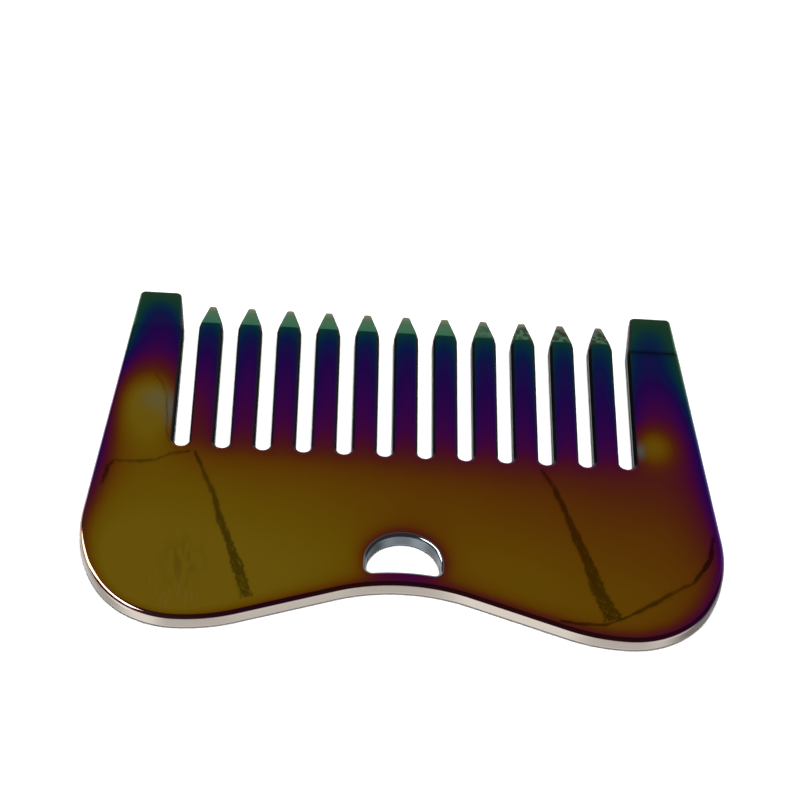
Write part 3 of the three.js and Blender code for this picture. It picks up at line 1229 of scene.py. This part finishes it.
        # The grip's wall colour, blended into the slots' painted shade colour where shade is 1.
        wall = graph.mix_colour(edge["shade"], self.wall_colour, self.slot_shade_colour)
        wear = self.lobe_wear.strength(x, y) + self.least_wear
        blotched = x.step(*self.blotch_fade_x) * self.blotch_growth + self.least_blotch
        facet_blotches = self.blotches.share(graph, place) * blotched
        scuffs = self.strokes.share(graph, place) * self.scuffed.strength(x, y)
        layers = [(glint.strength(x, y), self.glint_colour) for glint in self.glints]
        layers += [
            (self.smudge.strength(x, y) * self.rubbing.share(graph, place), self.dark_blot_colour),
            # Painted shade line along a guard's crease.
            (edge["crease"] * self.crease_shade_depth, self.crease_shade_colour),
            (turn.step(*self.wear_turn_fade) * wear, self.worn_colour),
            (bare * turn.step(*self.bare_turn_fade), self.bare_colour),
            # Wall colour along the grip, painted shade in the slots and painted shade on the hole's wall.
            (walls, graph.mix_colour(bare, wall, self.hole_shade_colour)),
            # Darker blotches on the sloped tips, growing towards the right.
            (facet_blotches * edge["facet"].step(*self.blotch_facet_fade), self.dark_blot_colour),
            (edge["tip"] * self.tip_depth, self.tip_colour),
            (scuffs * (1.0 - turn.step(*self.stroke_turn_fade)), self.worn_colour),
        ]
        colour = graph.node("ShaderNodeValToRGB", {"stops": list(self.stops)}, {0: film}).wire("Color")
        for share, over in layers:
            colour = graph.mix_colour(share, colour, over)

        roughness = self.haze.share(graph, place) * self.haze_roughness + self.least_roughness
        lines = self.hairlines.plain(graph, place) * self.hairline_height
        bumps = {
            "Strength": self.bump_strength,
            "Distance": self.bump_distance,
            "Height": self.ripple.plain(graph, place) + lines,
        }
        surface = {
            "Base Color": colour,
            "Metallic": 1.0,
            "Roughness": roughness + walls * self.wall_roughness,
            "Normal": graph.node("ShaderNodeBump", None, bumps).wire("Normal"),
        }
        graph.finish_surface(surface)
        return material


@dataclass(frozen=True)
class PaleFloor:
    """The studio floor: a wide matt sheet."""

    half_size: float = 2.0
    gap: float = 0.00005
    colour: tuple = (0.86, 0.86, 0.86)
    roughness: float = 0.9

    def build(self) -> bpy.types.Object:
        """Makes the floor just under the comb.

        Returns:
            The floor.
        """
        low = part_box("comb")[0]
        corner = np.array([[-1, -1], [1, -1], [1, 1], [-1, 1]]) * self.half_size
        vertices = np.concatenate([corner, np.full((4, 1), low.z - self.gap)], axis=1)
        mesh = bpy.data.meshes.new("floor")
        mesh.from_pydata(vertices.tolist(), [], [(0, 1, 2, 3)])
        material, graph = Graph.of_material("pale_floor")
        graph.finish_surface({"Base Color": graph.solid(self.colour), "Roughness": self.roughness})
        mesh.materials.append(material)
        floor = bpy.data.objects.new("floor", mesh)
        floor.visible_glossy = False
        bpy.context.scene.collection.objects.link(floor)
        return floor


class Side(Enum):
    """Where a soft light stands, as a direction from the comb."""

    LEFT = (-0.834, 0.354, 0.42)
    UPPER_LEFT = (-0.66, -0.06, 0.75)
    OVERHEAD = (0.0, -0.10, 0.99)


@dataclass(frozen=True)
class Softbox:
    """One soft studio light, aimed at the comb.

    Attributes:
        side: where it stands.
        distance: its distance from the comb, in metres.
        width: its width, in metres.
        height: its height, in metres.
        power: its power, in watts.
        in_reflections: true if only mirrors show it, false if it only lights matt things.
    """

    side: Side
    distance: float
    width: float
    height: float
    power: float
    in_reflections: bool

    def build(self) -> bpy.types.Object:
        """Makes the light and turns it towards the comb.

        Returns:
            The lamp.
        """
        light = bpy.data.lights.new(self.side.name.lower(), "AREA")
        light.shape = "RECTANGLE"
        light.size = self.width
        light.size_y = self.height
        light.energy = self.power
        lamp = bpy.data.objects.new(self.side.name.lower(), light)
        direction = Vector(self.side.value).normalized()
        lamp.location = direction * self.distance
        lamp.rotation_euler = direction.to_track_quat("Z", "Y").to_euler()
        lamp.visible_glossy = self.in_reflections
        lamp.visible_diffuse = not self.in_reflections
        bpy.context.scene.collection.objects.link(lamp)
        return lamp


@dataclass(frozen=True)
class Camera:
    """The camera, by its direction from the comb, its distance and its roll."""

    azimuth: float = math.radians(-3.31)
    elevation: float = math.radians(45.15)
    roll: float = math.radians(5.466)
    distance: float = 0.44097
    lens: float = 126.0
    sensor: float = 36.0
    nearest: float = 0.01
    aim: tuple = (-0.0008, 0.01338, 0.00125)

    def build(self) -> bpy.types.Object:
        """Makes the camera and hands it to the scene.

        Returns:
            The camera.
        """
        forward = Vector((
            -math.sin(self.azimuth) * math.cos(self.elevation),
            math.cos(self.azimuth) * math.cos(self.elevation),
            -math.sin(self.elevation),
        ))
        level = forward.cross(Vector((0, 0, 1))).normalized()
        upright = level.cross(forward)
        right = level * math.cos(self.roll) + upright * math.sin(self.roll)
        up = right.cross(forward)
        data = bpy.data.cameras.new("camera")
        data.lens = self.lens
        data.sensor_width = self.sensor
        data.clip_start = self.nearest
        camera = bpy.data.objects.new("camera", data)
        turned = Matrix((right, up, -forward)).transposed().to_4x4()
        place = Vector(self.aim) - forward * self.distance
        camera.matrix_world = Matrix.Translation(place) @ turned
        bpy.context.scene.collection.objects.link(camera)
        bpy.context.scene.camera = camera
        return camera


@dataclass(frozen=True)
class Waves:
    """A sum of sines along a strand.

    Attributes:
        terms: for each sine its height, its radians per length and its radians per strand.
    """

    terms: tuple

    def at(self, u: np.ndarray, strand: np.ndarray) -> np.ndarray:
        """The sum of height * sin(rate * u + shift * strand)."""
        return sum(height * np.sin(rate * u + shift * strand) for height, rate, shift in self.terms)


@dataclass(frozen=True)
class Cord:
    """Thin dark fibres over the comb that only the polished metal shows.

    Attributes:
        course: plan places (x, y), in millimetres, at which the camera sees its reflection.
        width: a strand's width at its far end, in millimetres.
        strands: how many strands lie side by side.
        spread: how far the strands have parted at their far end, in millimetres.
        tone: how bright its reflection stays.
        wobble: scale of the sideways waves, in millimetres.
        barbs: how many slanting steps each strand takes.
        barb_reach: a step's width, in gaps between strands.
        barb_shift: how far along the steps move from one strand to the next.
        rise: its height above the comb, in millimetres.
        samples: places along a strand.
        near_spread: share of the spread at the near end.
        spread_power: how slowly the strands part.
        near_width: share of the width at the near end.
        least_width: share of the width before the thickening waves.
        sway: the sideways waves.
        irregularity: waves added to the steps' count.
        thickening: waves of the width.
    """

    course: tuple
    width: float
    strands: int = 1
    spread: float = 0.0
    tone: float = 0.09
    wobble: float = 0.45
    barbs: int = 30
    barb_reach: float = 1.3
    barb_shift: float = 0.37
    rise: float = 8.0
    samples: int = 400
    near_spread: float = 0.06
    spread_power: float = 1.2
    near_width: float = 0.65
    least_width: float = 0.85
    sway: Waves = Waves(((0.20, 23, 2), (0.12, 61, 1), (0.07, 149, 0)))
    irregularity: Waves = Waves(((0.9, 13, 3), (0.4, 47, 1)))
    thickening: Waves = Waves(((0.25, 17, 2), (0.15, 71, 3)))

    def strips(self) -> np.ndarray:
        """Both sides of every strand as the camera sees them in the metal.

        A strand's middle runs through the course by the share u of its length. It is moved
        sideways by (part + barb) * (n + (1 - n) u^p) + sway * wobble, where part spaces the
        strands evenly over the spread, barb is a saw-tooth of u with irregular steps and n is
        near_spread. Its width grows from near_width to 1 and is varied by the thickening waves.

        Returns:
            (strands * 2 * samples, 2) plan places, in millimetres.
        """
        course = np.array(self.course)
        run = np.r_[0, np.cumsum(np.linalg.norm(np.diff(course, axis=0), axis=1))]
        u = np.linspace(0, 1, self.samples)
        middle = np.stack([np.interp(u * run[-1], run, axis) for axis in course.T], axis=1)
        ahead = np.gradient(middle, axis=0)
        ahead /= np.linalg.norm(ahead, axis=1, keepdims=True)
        across = np.stack([-ahead[:, 1], ahead[:, 0]], axis=1)
        strand = np.arange(self.strands)[:, None]
        phase = u * self.barbs + strand * self.barb_shift + self.irregularity.at(u, strand)
        barb = (phase % 1 - 0.5) * self.barb_reach * self.spread / self.strands
        part = (strand / max(self.strands - 1, 1) - 0.5) * self.spread
        opening = self.near_spread + (1 - self.near_spread) * u**self.spread_power
        offset = (part + barb) * opening + self.sway.at(u, strand) * self.wobble
        growth = self.near_width + (1 - self.near_width) * u
        half = self.width / 2 * growth * (self.least_width + self.thickening.at(u, strand))
        sides = [middle + across * (offset + side * half)[..., None] for side in (-1, 1)]
        return np.stack(sides, axis=1).reshape(-1, 2)

    def build(self, name: str, camera: bpy.types.Object) -> bpy.types.Object:
        """Makes the cord as flat strips.

        A place p that the camera sees in a level mirror h below a strip shows the strip's place
        p + (p - c) h / H, with c the camera's plan place and H its height above the mirror.

        Args:
            name: the object's name.
            camera: the camera for which the reflection is placed.

        Returns:
            The cord.
        """
        plan = self.strips()
        eye = np.array(camera.matrix_world.translation) / MM
        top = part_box("comb")[1].z / MM
        placed = plan + (plan - eye[:2]) * self.rise / (eye[2] - top)
        vertices = np.concatenate([placed, np.full((len(placed), 1), top + self.rise)], axis=1) * MM
        strand = np.arange(self.strands)[:, None]
        start = (np.arange(self.samples - 1) + strand * 2 * self.samples).ravel()
        quads = np.stack([start, start + 1, start + 1 + self.samples, start + self.samples], axis=1)
        mesh = bpy.data.meshes.new(name)
        mesh.from_pydata(vertices.tolist(), [], quads.tolist())
        material, graph = Graph.of_material(name)
        inputs = {"Base Color": graph.solid(BLACK), "Emission Color": graph.solid(WHITE)}
        inputs.update({"Emission Strength": self.tone, "Specular IOR Level": 0.0})
        graph.finish_surface(inputs)
        mesh.materials.append(material)
        cord = bpy.data.objects.new(name, mesh)
        cord.visible_camera = False
        cord.visible_diffuse = False
        cord.visible_shadow = False
        bpy.context.scene.collection.objects.link(cord)
        return cord


CORDS = {
    "cord_left": Cord(
        (
            (-32.9, -1.2), (-35.7, -2.0), (-38.0, -3.4), (-40.4, -4.0),
            (-44.2, -4.0), (-45.1, -5.2), (-45.8, -9.0),
        ),
        width=0.62, wobble=0.25,
    ),
    "cord_around": Cord(
        (
            (-39.4, 15.0), (-38.2, 13.2), (-37.4, 11.0), (-36.9, 5.8),
            (-36.8, 3.1), (-36.3, 0.8), (-35.0, -0.8),
        ),
        width=0.3, wobble=0.2, tone=0.13,
    ),
    "cord_middle": Cord(
        (
            (-32.3, -1.2), (-30.3, -6.2), (-28.6, -10.9),
            (-27.4, -15.5), (-25.5, -21.1), (-22.8, -30.0),
        ),
        width=0.46, strands=5, spread=1.5,
    ),
    "cord_right": Cord(
        (
            (21.0, -1.2), (22.9, -5.0), (24.9, -11.2),
            (27.0, -18.0), (28.9, -25.0), (30.9, -30.9),
        ),
        width=0.56, strands=6, spread=2.1,
    ),
    "cord_low": Cord(
        (
            (23.0, -31.6), (26.3, -32.0), (30.0, -31.7), (33.4, -30.0),
            (39.0, -25.8), (43.1, -23.0), (46.2, -18.0), (46.8, -13.5),
        ),
        width=0.78, wobble=0.35, tone=0.07,
    ),
}


@dataclass(frozen=True)
class StudioAir:
    """The surroundings that the polished metal mirrors.

    Above the horizon a soft glow lies in the direction that the flat faces mirror towards the
    camera, with a bright band low behind the comb and a weak one behind it on the right. Below
    it the ground is bright in front, straight below and on the left, weaker on the right and
    brighter again at the back, with a small glare in front on the left. Each part is its
    brightness times a share, and a field that ends in fade holds the two values of the
    direction's part between which that share goes from 0 to 1.
    """

    towards: tuple = (0.04, 0.70, 0.71)
    glow_fade: tuple = (0.78, 0.95)
    glow: float = 0.20
    dim: float = 0.055
    band: float = 0.84
    band_fade_up: tuple = (0.34, 0.52)
    band_fade_back: tuple = (0.78, 0.90)
    rear_fade: tuple = (0.45, 0.65)
    rear_right: float = 0.3
    rear_right_fade: tuple = (0.35, 0.50)
    ground_under: float = 1.0
    under_fade: tuple = (0.80, 0.93)
    ground_front: float = 1.25
    front_fade: tuple = (0.0, 0.5)
    ground_left: float = 0.9
    left_fade: tuple = (0.12, 0.4)
    left_behind: float = 0.4
    ground_right: float = 0.35
    right_fade: tuple = (0.3, 0.5)
    right_behind: float = 0.65
    glare: float = 3.0
    glare_towards: tuple = (-0.69, -0.43, -0.57)
    glare_fade: tuple = (0.985, 0.996)
    horizon_fade: tuple = (-0.03, 0.03)

    def build(self) -> bpy.types.World:
        """Makes the world and its shader.

        Returns:
            The world, with strength sky * above + ground * (1 - above) + dim.
        """
        world = bpy.data.worlds.new("studio")
        world.use_nodes = True
        bpy.context.scene.world = world
        graph = Graph(world.node_tree)
        direction = graph.node("ShaderNodeTexCoord").wire("Generated")
        axes = graph.node("ShaderNodeSeparateXYZ", None, {0: direction})
        x, y, z = axes.wire("X"), axes.wire("Y"), axes.wire("Z")
        pairs = [{0: direction, 1: goal} for goal in (self.towards, self.glare_towards)]
        nearness, spot = (
            graph.node("ShaderNodeVectorMath", {"operation": "DOT_PRODUCT"}, pair).wire("Value")
            for pair in pairs
        )
        low = 1.0 - z.step(*self.band_fade_up)
        rear = y.step(*self.rear_fade)
        sky = nearness.step(*self.glow_fade) * self.glow + low * y.step(*self.band_fade_back) * self.band
        sky = sky + x.step(*self.rear_right_fade) * rear * self.rear_right
        front = (-y).step(*self.front_fade) * self.ground_front
        left = (-x).step(*self.left_fade) * (rear * self.left_behind + self.ground_left)
        right = x.step(*self.right_fade) * (rear * self.right_behind + self.ground_right)
        under = (-z).step(*self.under_fade) * self.ground_under
        ground = front + left + right + under + spot.step(*self.glare_fade) * self.glare
        above = z.step(*self.horizon_fade)
        strength = sky * above + ground * (1.0 - above) + self.dim
        inputs = {"Color": graph.solid(WHITE), "Strength": strength}
        background = graph.node("ShaderNodeBackground", None, inputs)
        graph.node("ShaderNodeOutputWorld", None, {"Surface": background.wire()})
        return world


LIGHTS = (
    Softbox(Side.LEFT, distance=0.6, width=0.23, height=0.28, power=1.1, in_reflections=True),
    Softbox(Side.UPPER_LEFT, distance=0.6, width=0.56, height=0.19, power=2.8, in_reflections=True),
    Softbox(Side.OVERHEAD, distance=1.2, width=0.5, height=0.5, power=24.0, in_reflections=False),
)


def main() -> None:
    """Builds the studio, then the comb, and hands the comb to the frame."""
    logging.basicConfig(level=logging.INFO, format="%(name)s: %(message)s")
    bpy.context.scene.view_settings.view_transform = "Standard"
    camera = Camera().build()
    staged = [camera, PaleFloor().build(), *(light.build() for light in LIGHTS)]
    staged += [cord.build(name, camera) for name, cord in CORDS.items()]
    StudioAir().build()
    LOG.info("studio: %s", ", ".join(item.name for item in staged))

    comb = CombPlate(CombPlan()).build()
    comb.data.materials.append(RainbowCoating().material())
    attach(comb, "root")
    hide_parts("comb")
    LOG.info("%s: %d vertices, %d faces", comb.name, len(comb.data.vertices), len(comb.data.polygons))


if __name__ == "__main__":
    main()
